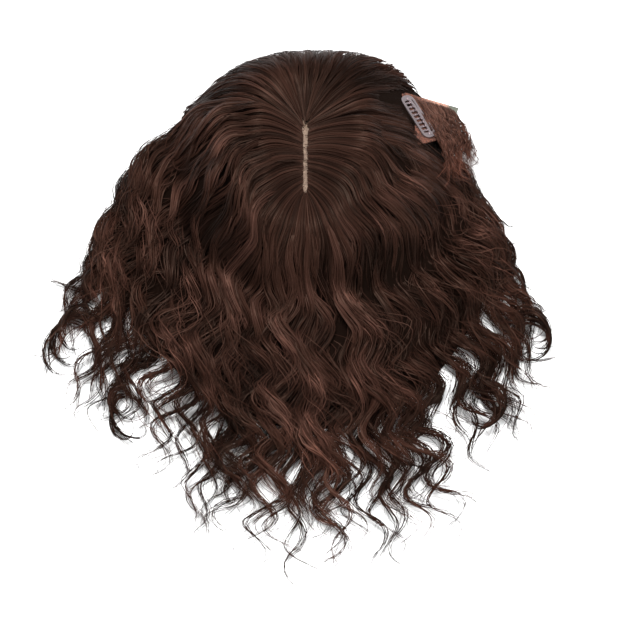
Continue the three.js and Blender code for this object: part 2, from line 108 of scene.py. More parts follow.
def domeShare(x, y, grow=0.0):
    corner = base["corner"]
    wide = np.abs(x / (base["halfWidth"] + grow)) ** corner
    return (wide + np.abs(y / (base["halfDepth"] + grow)) ** corner) ** (1 / corner)


def domeFall(share):
    return np.sqrt(np.maximum(0, 1 - np.minimum(1, share) ** base["fall"]))


def baseTop(x, y, grow=0.0):
    return (base["height"] + grow) * domeFall(domeShare(x, y, grow))


clipMiddle = along(tab["turn"]) * tab["share"] / domeShare(*along(tab["turn"]))


def fanAt(way):
    after = np.clip(np.searchsorted(fan[:, 0], way), 1, len(fan) - 1)
    a, b = fan[after - 1], fan[after]
    t = (way - a[..., 0]) / (b[..., 0] - a[..., 0])
    return mix(a, b, mix(t, smooth(t), 0.4)[..., None])


def aroundEnd(y, turn):
    outwards = along(turn)
    x = part["x"] + outwards[..., 0] * part["line"] / 2
    return np.stack([x, y + outwards[..., 1] * part["end"]], -1)


def rootOf(way):
    leftEnd, rightStart = sections["hair_tail"]
    left = mix(partTop, partFoot, np.clip(way / leftEnd, -0.1, 1))
    right = mix(partFoot, partTop, np.clip((way - rightStart) / (1 - rightStart), 0, 1.1))
    inTail = np.clip((way - leftEnd) / (rightStart - leftEnd), 0, 1)
    return aroundEnd(np.where(way < 0.5, left, right), 180 + 180 * inTail)


# A line of the fan. The hair on top keeps its first direction less far, and gathers below the part.
def fanLine(way, share, keep=1.0, gather=0.0):
    way = np.clip(way, -0.02, 1.02)
    aim = way + (0.5 - way) * gather * smooth(way / 0.2) * smooth((1 - way) / 0.2)
    _, bearing, reach, _, keeps, arrives = np.moveaxis(fanAt(aim), -1, 0)
    leaves = fanAt(way)[..., 3]
    root = rootOf(way)
    tip = np.array([part["x"], part["y"]]) + along(bearing, reach * flow["reach"])
    chord = lengthOf(tip - root)
    out = root + along(leaves, chord * keeps * keep)
    back = tip - along(arrives, chord * 0.34)
    s = np.clip(share, 0, 1)[..., None]
    place = (1 - s) ** 3 * root + 3 * s * (1 - s) ** 2 * out + 3 * s ** 2 * (1 - s) * back
    return place + s ** 3 * tip + np.maximum(share - 1, 0)[..., None] * 3 * (tip - back)


def hairTop(x, y, share, lies=1.0):
    fromClip = np.hypot(x - clipMiddle[0], y - clipMiddle[1])
    far = smooth((fromClip - tab["bareRound"]) / tab["fullAfter"])
    full = mix(flow["atRoot"], flow["onDome"], smooth(share / 0.2))
    full = mix(flow["byClip"], full, far)
    place = domeShare(x, y, mix(flow["byClip"], flow["skirt"], far))
    over = (base["height"] + full) * domeFall(place)
    lying = mix(flow["atEnds"], flow["atRim"], np.clip(1 - share, 0, 1) ** 1.3)
    lying = lying * smooth(share / 0.15) * far * lies
    return (over ** 4 + lying ** 4) ** 0.25


def wavePhase(way, share):
    reach = np.sqrt(fanAt(way)[..., 2])
    return 2 * np.pi * (flow["waves"] * share * reach + 0.8 * np.sin(4.2 * way + 0.5))


def waveGrowth(share):
    return smooth((share - 0.12) / 0.4)


# The strands wave sooner at the sides than below the part.
wavesFrom = {"sides": 0.06, "tail": 0.12, "overSides": 0.26, "overTail": 0.28}


def strandWaves(way, share):
    tail = smooth((way - 0.25) / 0.15) * smooth((0.75 - way) / 0.15)
    begins = mix(wavesFrom["sides"], wavesFrom["tail"], tail)
    return smooth((share - begins) / mix(wavesFrom["overSides"], wavesFrom["overTail"], tail))


def fanPlace(way, share):
    ends = smooth(way / flow["stillEdge"]) * smooth((1 - way) / flow["stillEdge"])
    swung = flow["swing"] * waveGrowth(share) * ends * np.sin(wavePhase(way, share))
    return fanLine(way + swung, share)


# The hair above the part, round from the right (0) to the left (1), and outwards from 0 to 1.
def crownLine(turn, share):
    share, turn = np.broadcast_arrays(share, turn)
    edge = flow["crownEdge"] * share
    last = np.full_like(edge, flow["crownEdge"])
    one, zero = np.ones_like(edge), np.zeros_like(edge)
    right, left = fanPlace(one, edge), fanPlace(zero, edge)
    farRight, farLeft = fanPlace(one, last), fanPlace(zero, last)
    rootRight, rootLeft = fanPlace(one, zero), fanPlace(zero, zero)
    angles = [np.degrees(np.arctan2(p[..., 1], p[..., 0])) % 360 for p in (farRight, farLeft)]
    out = [lengthOf(p) * domeShare(*np.moveaxis(unit(p), -1, 0)) for p in (farRight, farLeft)]
    bearing = along(mix(*angles, turn))
    full = flow["crownRim"] * (1 + flow["skirt"] / base["halfWidth"])
    reach = mix(mix(*out, turn), full, smooth(5 * np.minimum(turn, 1 - turn)))
    rim = bearing * (reach / domeShare(bearing[..., 0], bearing[..., 1]))[..., None]
    t, f = turn[..., None], share[..., None]
    place = mix(right, left, t) + mix(aroundEnd(partTop, 180 * turn), rim, f)
    return place - mix(mix(rootRight, farRight, f), mix(rootLeft, farLeft, f), t)


# A little fuller over the rear rim than the hair at the sides.
def crownTop(x, y, share, turn):
    full = 1 - flow["crownFall"] * smooth(4 * np.minimum(turn, 1 - turn))
    return hairTop(x * full, y * full, share * 0.4, np.abs(2 * np.clip(turn, 0, 1) - 1) ** 3)


# How far a place is inside the bare window over the clip, in metres; less than 0 is in the hair.
def inWindow(x, y):
    dx, dy = x - clipMiddle[0], y - clipMiddle[1]
    lengthwise, outwards = along(tab["clipTurn"]), along(tab["clipTurn"] + 90)
    ahead = dx * lengthwise[0] + dy * lengthwise[1]
    ends = tab["clipLength"] / 2 + np.minimum(tab["atFoot"] - ahead, tab["atHead"] + ahead)
    inner = dx * outwards[0] + dy * outwards[1] + tab["clipWidth"] / 2 + tab["beside"]
    return np.minimum(ends, inner)


# The thin hair over the net of the tab, from its rear edge on, beside the clip.
tabFlow = {
    "inner": 0.0058, "outer": 0.032, "closes": 0.008, "drawnIn": 0.006,
    "innerEnd": 0.050, "outerEnd": 0.040, "over": 0.001, "lowest": 0.0005,
}


def tabLine(way, share):
    out = mix(tabFlow["inner"], tabFlow["outer"], way)
    out = out - tabFlow["closes"] * (1 - way) * smooth((share - 0.6) / 0.3)
    rearEnd = -tab["end"] - tab["edge"]
    back = mix(rearEnd, tab["edge"], (out - tab["rear"]) / (tab["tip"] - tab["rear"]))
    front = mix(tabFlow["innerEnd"], tabFlow["outerEnd"], way)
    length = mix(np.maximum(back, rearEnd), front, share)
    flatOut = (out - tabFlow["drawnIn"] * share ** 2 * way) * np.cos(np.radians(tab["slope"]))
    lengthwise, outwards = along(tab["clipTurn"]), along(tab["clipTurn"] + 90)
    return clipMiddle + lengthwise * length[..., None] + outwards * flatOut[..., None]


def tabTop(x, y, share, way):
    slope = np.radians(tab["slope"])
    outwards = along(tab["clipTurn"] + 90)
    inner = clipMiddle - outwards * tab["inner"] * np.cos(slope)
    middle = baseTop(inner[0], inner[1]) - np.sin(slope) * tab["inner"]
    flatOut = (x - clipMiddle[0]) * outwards[0] + (y - clipMiddle[1]) * outwards[1]
    plate = np.maximum(middle - flatOut * np.tan(slope), tabFlow["lowest"])
    return plate + tabFlow["over"] * np.sin(np.pi * share)


# The bare line is wider at the top end of the part.
def nearTop(way):
    return np.exp(-((0.5 - np.abs(way - 0.5)) / 0.03) ** 2)


# A curl that leaves the mass at its own place, straight at first, and turns round on the table.
curlSpan = {"straight": 0.1, "lead": 0.01, "apart": 0.014}


def curlLine(curl):
    middle = np.array([curl["x"], curl["y"]]) - baseMiddle
    aside, heading = np.sign(curl["radius"]), curl["heading"]
    straight = curlSpan["straight"]

    def line(way, share):
        radius = abs(curl["radius"]) * mix(0.8, 1.15, way)
        turned = np.degrees(np.maximum(share - straight, 0) * curl["turn"] / (1 - straight))
        before = np.minimum(share - straight, 0) * curlSpan["lead"] / straight
        circle = along(heading + aside * (turned - 90)) - along(heading - aside * 90)
        lead = along(heading) * before[..., None]
        shift = along(heading + 90) * ((way - 0.5) * curlSpan["apart"])[..., None]
        return middle + lead + circle * radius[..., None] + shift

    return line


def curlTop(x, y, share, way):
    return hairTop(x, y, 0.72) * mix(1, 0.45, smooth(share * 2))


# Where the hair lies higher (1) or deeper (-1). The deeper patches also get painted shade in the
# strands' tone, and the higher ones painted light.
def patches(x, y):
    a = 2 * np.pi * (x - flow["patchX"]) / flow["patch"]
    b = 2 * np.pi * (y - flow["patchY"]) / flow["patch"]
    return np.sin(a + 2 * np.sin(0.7 * b)) * np.sin(1.1 * b + 1.7 * np.sin(0.6 * a + 2))


# The corners, faces and map of the ribbons. The map holds the strand's tone across and its
# share of the length along.
ribbonMap = {"along": 0.94, "across": 0.004}
byWindow = {"steps": 4, "above": 0.0004, "width": 0.35}  # strands that end at the bare window


def ribbons(points, across, width, tone, share, cut):
    k = points.shape[2]
    points, across = points.reshape(-1, k, 3), across.reshape(-1, k, 3)
    width, tone, share = (values.reshape(-1, k) for values in (width, tone, share))
    keep = np.ones(width.shape, bool)
    if cut:
        inside = inWindow(points[..., 0], points[..., 1])
        bare = np.maximum.accumulate(inside > 0, axis=1)
        keep = ~bare
        left = keep.sum(1, keepdims=True) - 1 - np.arange(k)[None, :]
        near = np.where(bare.any(1, keepdims=True), smooth(left / byWindow["steps"]), 1)
        floor = baseTop(points[..., 0], points[..., 1], flow["overNet"]) + flow["clear"]
        low = np.minimum(points[..., 2], floor + byWindow["above"])
        points = np.concatenate([points[..., :2], mix(low, points[..., 2], near)[..., None]], -1)
        width = width * mix(byWindow["width"], 1, near)
    half = across * (width / 2)[..., None]
    corners = np.stack([points - half, points + half], 2)
    corners[..., 2] = np.maximum(corners[..., 2], flow["lowest"])
    strand, step = np.nonzero(keep[:, 1:] & keep[:, :-1])
    first = (strand * k + step) * 2
    quads = np.stack([first, first + 1, first + 3, first + 2], -1)
    down = share * ribbonMap["along"]
    uv = [np.stack([across, down], -1) for across in (tone, tone + ribbonMap["across"])]
    return corners.reshape(-1, 3), quads, np.stack(uv, 2).reshape(-1, 2)


# Strands in locks. Each one follows its lock's line, and is a narrow ribbon round the lock.
def growLocks(line, top, locks, look):
    count, strands, steps = len(locks["way"]), look["strands"], look["steps"]
    lock = {key: np.asarray(value, float)[:, None, None] for key, value in locks.items()}
    shape = (count, strands, 1)
    t = np.linspace(0, 1, steps + 1)[None, None, :]
    start = np.maximum(lock["start"] + spread(-1, 1, *shape) * look["startSpread"], 0)
    tip = lock["tip"] * (1 - look["tipSpread"] * spread(0, 1, *shape) ** 1.6)
    share = mix(start, tip, t)
    turn = spread(0, 2 * np.pi, *shape)
    out = np.sqrt(spread(0.05, 1, *shape))
    turn = turn + look["twist"] * lock["twist"] * share * 2 * np.pi
    clump = smooth((share - look["clumpFrom"]) / look["clumpOver"])
    free = smooth((share - look["freeFrom"]) / look["freeOver"])
    tipward = np.clip((lock["tip"] - share) / look["taperOver"], 0, 1) ** 0.6
    halfWidth = look["halfWidth"] * lock["size"] * mix(look["narrowTip"], 1, tipward)
    halfHeight = look["halfHeight"] * lock["size"] * mix(look["flatTip"], 1, tipward)

    # the middle line, with the strand's own share of the lock's width
    offset = out * np.cos(turn)
    way = lock["way"] + lock["apart"] * free
    spanned = way + lock["span"] * offset * (1 - clump)
    place = line(spanned, share, **look["course"])
    nearby = np.maximum(share, 0.004)
    before, after = (line(way, nearby + step, **look["course"]) for step in (-0.004, 0.004))
    ahead = unit(after - before)
    side = np.stack([-ahead[..., 1], ahead[..., 0]], -1)
    wide = lengthOf(line(way + 0.01, share) - line(way - 0.01, share)) / 0.02

    # at the root, some strands reach into the bare line or cross it, and some leave a gap
    inLine = mix(-1.3, 0.6, spread(0, 1, *shape)) + 0.3 * np.sin(way * 70 + 5 * np.sin(way * 23))
    inLine = inLine + look["crossBy"] * (spread(0, 1, *shape) > look["crossFrom"])
    inLine = look["overLine"] * inLine - look["gape"] * nearTop(way)
    byFork = (np.abs(way - 0.5) - look["forkAt"]) / look["forkWide"]
    inLine = inLine - look["fork"] * np.exp(-byFork ** 2)
    place = place - ahead * (inLine * (1 - smooth(share / look["rootOver"])))[..., None]
    place = place + side * (offset * halfWidth * clump)[..., None]

    # waves, which swing sideways, bulge along the hair and lift it
    phase = lock["phase"] + look["phaseOf"](way, share) * lock["rate"]
    phase = phase + look["loose"] * spread(-1, 1, *shape) * mix(0.4, 1, spread(0, 1, *shape) ** 3)
    growth = strandWaves(way, share)
    swing = np.minimum(look["swing"] * wide, look["mostSwing"]) * growth
    sides = smooth(way / look["borderOver"]) * smooth((1 - way) / look["borderOver"])
    swing = swing * lock["swing"] * mix(0.5, 1, sides) * (1 + 0.2 * spread(-1, 1, *shape))
    kinked = np.arcsin(look["kink"] * np.sin(phase)) / np.arcsin(look["kink"])
    place = place + side * (swing * mix(np.sin(phase), kinked, growth))[..., None]
    outer = 1 - smooth((way - 0.1) / 0.18) * smooth((0.92 - way) / 0.15)
    curl = lock["curl"] * smooth((share - 0.2) / 0.4) * swing * mix(0.5, 1.3, outer)
    place = place - ahead * (curl * np.sin(2 * phase))[..., None]
    wander = look["wander"] * smooth((share - 0.12) / 0.3) * mix(0.4, 1, sides)
    wander = wander * np.sin(10 * share + 5 * lock["phase"])
    place = place + side * wander[..., None]
    for waves in (1.3, 3.1, 6.7):
        drift = look["drift"] / waves * smooth(share / 0.5) * spread(0.3, 1, *shape)
        drift = drift * np.sin(2 * np.pi * (waves * share + spread(0, 1, *shape)))
        place = place + side * drift[..., None]

    # the hook at the tip, an arc that the last stretch bends into
    hookFrom = lock["tip"] - look["hookOver"]
    q = np.clip((share - hookFrom) / look["hookOver"], 0, 1.2)
    bend = lock["hook"] * mix(0.5, 1.2, outer)
    stretch = look["hookOver"] * flow["reach"] * look["hookReach"]
    place = place + ahead * (stretch / bend * np.sin(bend * q) - stretch * q)[..., None]
    place = place + side * (stretch / bend * (1 - np.cos(bend * q)))[..., None]

    # the height: on the hair's top, and down on the table where the locks are free
    x, y = place[..., 0], place[..., 1]
    height = top(x, y, share, way) + flow["lift"] * growth * np.cos(phase)
    rest = flow["onTable"] + halfHeight + lock["rest"]
    rest = rest + 0.5 * flow["lift"] * (1 + np.cos(phase))
    sunk = (1 - smooth(t / look["sinkOver"])) * (start > look["rootOver"])
    under = look["depth"] + look["sink"] * sunk
    under = under + look["sinkTip"] * smooth((t - 0.8) / 0.2) * (1 - free)
    patch = patches(x, y) * growth * look["patched"]
    under = under - flow["patchHeight"] * patch
    height = mix(height - under - lock["deep"], rest, free * look["lies"])
    height = height + halfHeight * out * np.sin(turn) * mix(0.35, 1, clump)
    floor = baseTop(x, y, flow["overNet"]) * look["overBase"] + flow["clear"]
    rise = smooth(share / look["rootOver"])
    height = mix(floor + flow["lowest"], np.maximum(height, floor), rise)
    points = np.concatenate([place, height[..., None]], -1)

    # which way each ribbon faces
    up = np.zeros_like(points)
    up[..., 2] = 1
    for aside in (side, ahead):
        dx, dy = np.moveaxis(look["slopeOver"] / 2 * aside, -1, 0)
        rises = top(x + dx, y + dy, share, way) - top(x - dx, y - dy, share, way)
        slope = np.clip(rises / look["slopeOver"] * (1 - free), -3, 3)
        up[..., :2] -= aside * slope[..., None]
    up = unit(up)
    roll = spread(-1, 1, *shape) * look["roll"] + 0.9 * clump * np.cos(turn)
    up[..., :2] = up[..., :2] + side * roll[..., None]
    forward = np.gradient(points, axis=2)
    across = unit(np.cross(forward, up))

    # how wide it is, and its tone from dark (0) to light (1): painted shade on deep locks and lock
    # undersides, painted light on lock tops, beside each strand's own random tone
    ends = smooth(t / 0.07) if look["fadeIn"] else np.ones_like(t)
    width = look["width"] * spread(0.65, 1.25, *shape) * mix(0.35, 1, ends)
    width = width * mix(look["tipWidth"], 1, smooth((1 - t) / 0.3))
    # painted shade: locks that lie deeper get a darker tone
    tone = lock["tone"] + look["tone"] - look["paintedShadeDeep"] * lock["deep"]
    tone = tone + look["toneSpread"] * spread(-1, 1, *shape)
    tone = tone - look["darkerTips"] * smooth((share - 0.3) / 0.3)
    # painted light on the upper side of each lock and on wave crests, painted shade on its
    # underside and in wave valleys
    tone = tone + look["shade"] * (out * np.sin(turn) * clump + 0.7 * growth * np.cos(phase))
    # painted shade on the deeper patches, painted light on the higher ones
    tone = np.clip(tone + patch, 0.06, 0.985)
    return ribbons(points, across, width + np.zeros_like(share), tone, share, look["cut"])


# One mesh of all the ribbons of a piece, without the corners that no face uses.
def ribbonMesh(name, parts):
    shifts = np.cumsum([0] + [len(corners) for corners, _, _ in parts])
    quads = np.concatenate([faces + shift for (_, faces, _), shift in zip(parts, shifts)])
    used, quads = np.unique(quads, return_inverse=True)
    quads = quads.reshape(-1, 4)
    vertices = np.concatenate([corners for corners, _, _ in parts])[used] + [*baseMiddle, 0]
    uvs = np.concatenate([uv for _, _, uv in parts])[used]
    mesh = bpy.data.meshes.new(name)
    mesh.vertices.add(len(vertices))
    mesh.vertices.foreach_set("co", vertices.astype(np.float32).ravel())
    mesh.loops.add(quads.size)
    mesh.loops.foreach_set("vertex_index", quads.ravel())
    mesh.polygons.add(len(quads))
    mesh.polygons.foreach_set("loop_start", np.arange(0, quads.size, 4))
    mesh.polygons.foreach_set("use_smooth", np.ones(len(quads), bool))
    layer = mesh.uv_layers.new(name="OFBake")
    layer.data.foreach_set("uv", uvs[quads].astype(np.float32).ravel())
    mesh.update(calc_edges=True)
    mesh.validate()
    return mesh


# The inner hair that closes the mass under the strands: a grid pulled over the fan, near black as
# painted shade for the depth between the strands.
innerLook = {
    "valleyDepth": 0.0015, "overNet": 0.0012, "onTable": 0.0006, "atEnd": 0.12,
    "endOver": 0.12, "atBottom": 0.0002, "clear": 0.0002,
    "tone": 0.01, "toneAcross": 0.03, "mapAlong": 0.9,
}


def innerHair(name, line, top, ways, values):
    bm = bmesh.new()
    bmesh.ops.create_grid(bm, x_segments=values["across"], y_segments=values["along"], size=0.5)
    layer = bm.loops.layers.uv.new("OFBake")
    sheet = bm.verts[:]
    grid = np.array([v.co[:2] for v in sheet]) + 0.5
    way, share = mix(*ways, grid[:, 0]), mix(values["from"], values["to"], grid[:, 1])
    for face in bm.faces:
        for loop in face.loops:
            across, down = loop.vert.co.x + 0.5, loop.vert.co.y + 0.5
            # near-black tone at the ramp's dark end: painted shade
            tone = innerLook["tone"] + innerLook["toneAcross"] * across
            loop[layer].uv = (tone, down * innerLook["mapAlong"])
    place = line(way, share)
    x, y = place[:, 0], place[:, 1]
    ends = smooth((values["to"] - share) / innerLook["endOver"])
    valley = 0.5 - 0.5 * np.cos(2 * np.pi * values["valleys"] * grid[:, 0])
    high = top(x, y, share, way) - values["under"] - innerLook["valleyDepth"] * valley
    low = np.maximum(baseTop(x, y, innerLook["overNet"]) + flow["lowest"], innerLook["onTable"])
    high = np.maximum(mix(low, high, mix(innerLook["atEnd"], 1, ends)), low + flow["lowest"])
    for vertex, px, py, pz in zip(sheet, x, y, high):
        vertex.co = (px, py, pz)
    bottom = bmesh.ops.extrude_face_region(bm, geom=bm.faces[:], use_keep_orig=True)
    lower = [item for item in bottom["geom"] if isinstance(item, bmesh.types.BMVert)]
    for vertex in lower:
        net = float(baseTop(vertex.co.x, vertex.co.y, innerLook["overNet"]))
        vertex.co.z = max(net, innerLook["atBottom"]) + innerLook["clear"]
    bmesh.ops.translate(bm, vec=(*baseMiddle, 0), verts=bm.verts[:])
    bmesh.ops.recalc_face_normals(bm, faces=bm.faces[:])
    for face in bm.faces:
        face.smooth = True
    mesh = bpy.data.meshes.new(name)
    bm.to_mesh(mesh)
    bm.free()
    return mesh


def addPiece(name, mesh, material):
    piece = bpy.data.objects.new(name, mesh)
    bpy.context.scene.collection.objects.link(piece)
    mesh.materials.clear()
    mesh.materials.append(material)
    return piece


def joined(name, meshes, material):
    pieces = [addPiece(name, mesh, material) for mesh in meshes]
    with bpy.context.temp_override(
        active_object=pieces[0], object=pieces[0],
        selected_objects=pieces, selected_editable_objects=pieces,
    ):
        bpy.ops.object.join()
    pieces[0].name = name
    return pieces[0]


# A socket that takes part in sums, so that a pattern reads as a formula.
class Value:
    def __init__(self, finish, socket):
        self.finish, self.socket = finish, socket

    def math(self, operation, first, second=0.0):
        return self.finish.node("ShaderNodeMath", {"operation": operation}, {0: first, 1: second})

    def __add__(self, other):
        return self.math("ADD", self, other)

    def __sub__(self, other):
        return self.math("SUBTRACT", self, other)

    def __rsub__(self, other):
        return self.math("SUBTRACT", other, self)

    def __mul__(self, other):
        return self.math("MULTIPLY", self, other)

    def __pow__(self, other):
        return self.math("POWER", self, other)

    def __rpow__(self, other):
        return self.math("POWER", other, self)

    def __gt__(self, other):
        return self.math("GREATER_THAN", self, other)

    def __lt__(self, other):
        return self.math("LESS_THAN", self, other)

    __radd__, __rmul__ = __add__, __mul__


class Finish:
    def __init__(self, name, values):
        self.material = bpy.data.materials.new(name)
        self.material.use_nodes = True
        self.tree = self.material.node_tree
        self.surface = self.tree.nodes["Principled BSDF"]
        for socket, value in values.items():
            self.feed(socket, value)

    def node(self, kind, settings, sockets, output=0):
        made = self.tree.nodes.new(kind)
        for key, value in settings.items():
            if key == "stops":
                ramp = made.color_ramp
                while len(ramp.elements) < len(value):
                    ramp.elements.new(1)
                for stop, (position, colour) in zip(ramp.elements, value):
                    stop.position, stop.color = position, (*colour, 1)
            else:
                setattr(made, key, value)
        for key, value in sockets.items():
            self.join(made.inputs[key], value)
        return Value(self, made.outputs[output])

    def join(self, socket, value):
        if isinstance(value, Value):
            self.tree.links.new(value.socket, socket)
        else:
            socket.default_value = value

    def feed(self, socket, value):
        self.join(self.surface.inputs[socket], value)

    def blend(self, factor, a, b):
        sockets = {"Factor": factor, 6: a, 7: b}
        return self.node("ShaderNodeMix", {"data_type": "RGBA"}, sockets, 2)

    # From 0 at one value to 1 at the other, and held beyond them.
    def range(self, value, low, high):
        sockets = {"Value": value, "From Min": low, "From Max": high}
        return self.node("ShaderNodeMapRange", {}, sockets)

    def split(self, vector):
        return [self.node("ShaderNodeSeparateXYZ", {}, {0: vector}, axis) for axis in range(3)]

    def bump(self, height, strength, distance):
        sockets = {"Strength": strength, "Distance": distance, "Height": height}
        self.feed("Normal", self.node("ShaderNodeBump", {}, sockets))


hairLook = {
    "roughness": 0.42, "innerRoughness": 0.95, "innerTone": 0.05, "specular": 0.06,
    "tint": (1.0, 0.66, 0.5, 1), "paintedTipLight": (1.7, 1.35, 1.2, 1), "tipRise": 4.0,
    # the ramp's darkest end is painted shade, for the inner hair and the deepest strands
    "tones": [
        (0.0, (0.0020, 0.0010, 0.0007)), (0.1, (0.0036, 0.0017, 0.0012)),
        (0.35, (0.0083, 0.0038, 0.0027)), (0.6, (0.019, 0.0083, 0.0057)),
        (0.85, (0.034, 0.0155, 0.0114)), (1.0, (0.070, 0.032, 0.023)),
    ],
}


def hairFinish():
    finish = Finish("wavyBrownHair", {
        "Specular IOR Level": hairLook["specular"], "Specular Tint": hairLook["tint"],
    })
    uv = finish.node("ShaderNodeUVMap", {"uv_map": "OFBake"}, {})
    tone, share, _ = finish.split(uv)
    colour = finish.node("ShaderNodeValToRGB", {"stops": hairLook["tones"]}, {0: tone})
    # painted light: the strands' ends turn paler and redder, as thin tips lit through from the
    # white floor
    tipLitThrough = finish.node(
        "ShaderNodeMix", {"data_type": "RGBA", "blend_type": "MULTIPLY"},
        {"Factor": 1.0, 6: colour, 7: hairLook["paintedTipLight"]}, 2,
    )
    finish.feed("Base Color", finish.blend(share ** hairLook["tipRise"], colour, tipLitThrough))
    inner, strand = hairLook["innerRoughness"], hairLook["roughness"]
    finish.feed("Roughness", inner - (tone > hairLook["innerTone"]) * (inner - strand))
    return finish.material


def plainFinish(name, colour, roughness):
    return Finish(name, {"Base Color": (*colour, 1), "Roughness": roughness}).material


# How much of their length locks keep, as bumps along the fan.
def trimmed(way, places):
    return 1 - sum(
        less * np.exp(-((way - middle) / wide) ** 2) for middle, wide, less in places
    )


# Places along the fan, evenly apart but for the jitter.
def rowOf(count, ways, jitter):
    gap = (ways[1] - ways[0]) / count
    return gap, ways[0] + gap * (np.arange(count) + 0.5 + spread(-1, 1, count) * jitter)


# Bunches of locks that wave together, with gaps between them.
def bunches(count, ways, values):
    gap, way = rowOf(count, ways, values["jitter"])
    return {
        "way": way, "gap": gap, "phase": spread(-1, 1, count) * values["phase"],
        "swing": spread(*values["swing"], count), "tip": spread(*values["tip"], count),
        "deep": spread(-1, 1, count) * values["deep"],
        "tone": spread(-1, 1, count) * values["tone"],
    }


def lockRows(count, ways, values, bunch=None):
    gap, way = rowOf(count, ways, values["jitter"])
    shared = {"phase": 0, "swing": 1, "tip": 1, "deep": 0, "tone": 0, "apart": 0}
    if bunch:
        own = np.arange(count) % len(bunch["way"])
        aside = spread(-1, 1, count)
        shared = {key: bunch[key][own] for key in shared if key in bunch}
        shared["apart"] = aside * bunch["gap"] * values["apart"]
        way = bunch["way"][own] + aside * bunch["gap"] * values["within"]
    tip = spread(*values["tip"], count) * shared["tip"]
    if bunch:
        tip = np.minimum(tip, lengths["longest"]) * trimmed(way, lengths["all"])
    if values["thick"]:
        tip = tip * trimmed(way, lengths["thick"])
    return {
        "way": way, "span": np.full(count, gap * values["span"]),
        "apart": np.zeros(count) + shared["apart"],
        "start": spread(*values["start"], count), "tip": tip,
        "twist": spread(0.4, 1.0, count) * np.sign(spread(-1, 1, count)),
        "phase": spread(-1, 1, count) * values["phase"] + shared["phase"],
        "swing": spread(*values["swing"], count) * shared["swing"],
        "hook": spread(*values["hook"], count) * np.sign(spread(-1, 1, count)),
        "size": spread(*values["size"], count), "rest": spread(0, values["rest"], count),
        "rate": 1 + spread(-1, 1, count) * values["rate"],
        "curl": spread(*values["curl"], count),
        "deep": spread(-1, 1, count) * values["deep"] + shared["deep"],
        "tone": spread(-1, 1, count) * values["toned"] + shared["tone"],
    }


# Where along the fan all locks, or the thick ones alone, are shorter: middle, width, how much.
lengths = {
    "longest": 1.065,  # as a share of the way to the frame's own tips
    "all": [(0.0, 0.12, 0.07), (1.0, 0.12, 0.06), (0.285, 0.055, 0.09)],
    "thick": [(0.36, 0.06, 0.2), (0.65, 0.07, 0.22)],
}
fullness = {"hair_left": 1.0, "hair_tail": 1.4, "hair_right": 1.0}  # how close the locks grow
# painted light: the right side's tones raised and the left side's and the tail's lowered, as the
# light falls on them
sideLightPainted = {"hair_left": -0.03, "hair_tail": -0.03, "hair_right": 0.06}  # added to every tone

# What all strands share, where nothing else is said: metres, and shares of the way to the tips.
common = {
    "startSpread": 0.05, "tipSpread": 0.2, "twist": 1.0, "clumpFrom": 0.15, "clumpOver": 0.4,
    "freeFrom": 0.62, "loose": 0.45, "swing": 0.0125, "mostSwing": 0.0085, "drift": 0.0014,
    "hookOver": 0.1, "depth": 0.002, "sink": 0.007, "sinkTip": 0.0, "lies": 1.0, "roll": 0.7,
    "fadeIn": True, "width": 0.00055, "tipWidth": 0.3, "halfWidth": 0.0042, "halfHeight": 0.003,
    "tone": 0.42, "shade": 0.2, "kink": 0.93, "overLine": 0.0, "gape": 0.0, "overBase": 1,
    "wander": 0.003, "patched": 0.15, "fork": 0, "forkAt": 0.22, "forkWide": 0.07,
    "crossFrom": 0.993, "crossBy": 2.5, "paintedShadeDeep": 35, "darkerTips": 0.11, "toneSpread": 0.09,
    "freeOver": 0.2, "taperOver": 0.35, "narrowTip": 0.16, "flatTip": 0.2, "rootOver": 0.03,
    "borderOver": 0.1, "sinkOver": 0.2, "hookReach": 0.8, "slopeOver": 0.004,
    "course": {}, "phaseOf": wavePhase, "cut": True,
}
bunchLook = {
    "count": 26, "jitter": 0.22, "phase": 1.1, "swing": (0.85, 1.25), "tip": (0.96, 1.06),
    "deep": 0.0032, "tone": 0.14,
}
rowsOfLocks = {
    "jitter": 0.5, "span": 0.6, "phase": 0.4, "rate": 0.05, "curl": (0.0, 0.45), "toned": 0.13,
    "swing": (0.8, 1.15), "hook": (0.4, 2.2), "size": (0.7, 1.2), "deep": 0.0014,
    "within": 0.28, "apart": 0.4, "thick": False,
}

# The layers of locks: how many on the whole fan, how their strands grow, and how the locks vary.
layers = [
    (26, {**common, "strands": 40, "steps": 38, "depth": 0.0045, "tone": 0.32}, {
        **rowsOfLocks, "start": (0.36, 0.46), "tip": (0.84, 0.99), "rest": 0.002, "within": 0.05,
        "thick": True,
    }),
    (124, {**common, "strands": 10, "steps": 38, "depth": 0.003, "tone": 0.42,
           "halfWidth": 0.0018, "halfHeight": 0.0016, "loose": 0.3, "wander": 0.004}, {
        **rowsOfLocks, "start": (0.38, 0.52), "tip": (0.78, 1.13), "rest": 0.005,
        "phase": 0.7, "curl": (0.0, 0.5), "hook": (0.4, 2.8), "swing": (0.8, 1.3),
    }),
    (52, {**common, "strands": 26, "steps": 36, "depth": 0.0022, "tone": 0.42,
          "course": {"keep": 0.8, "gather": 0.15}}, {
        **rowsOfLocks, "start": (0.2, 0.34), "tip": (0.72, 0.97), "rest": 0.006, "thick": True,
    }),
    (52, {**common, "strands": 24, "steps": 32, "depth": 0.0006, "tone": 0.46,
          "freeFrom": 0.66, "lies": 0.6, "course": {"keep": 0.7, "gather": 0.4}}, {
        **rowsOfLocks, "start": (0.05, 0.15), "tip": (0.5, 0.76), "rest": 0.01,
    }),
    (440, {**common, "strands": 1, "steps": 38, "depth": 0.0005, "tone": 0.52, "width": 0.00035,
           "loose": 0.9, "drift": 0.0025, "halfWidth": 0.004, "lies": 0.9}, {
        **rowsOfLocks, "start": (0.3, 0.5), "tip": (0.8, 1.08), "rest": 0.006, "phase": 1.5,
        "swing": (0.5, 1.7), "hook": (0.5, 3.2), "within": 0.5,
    }),
]

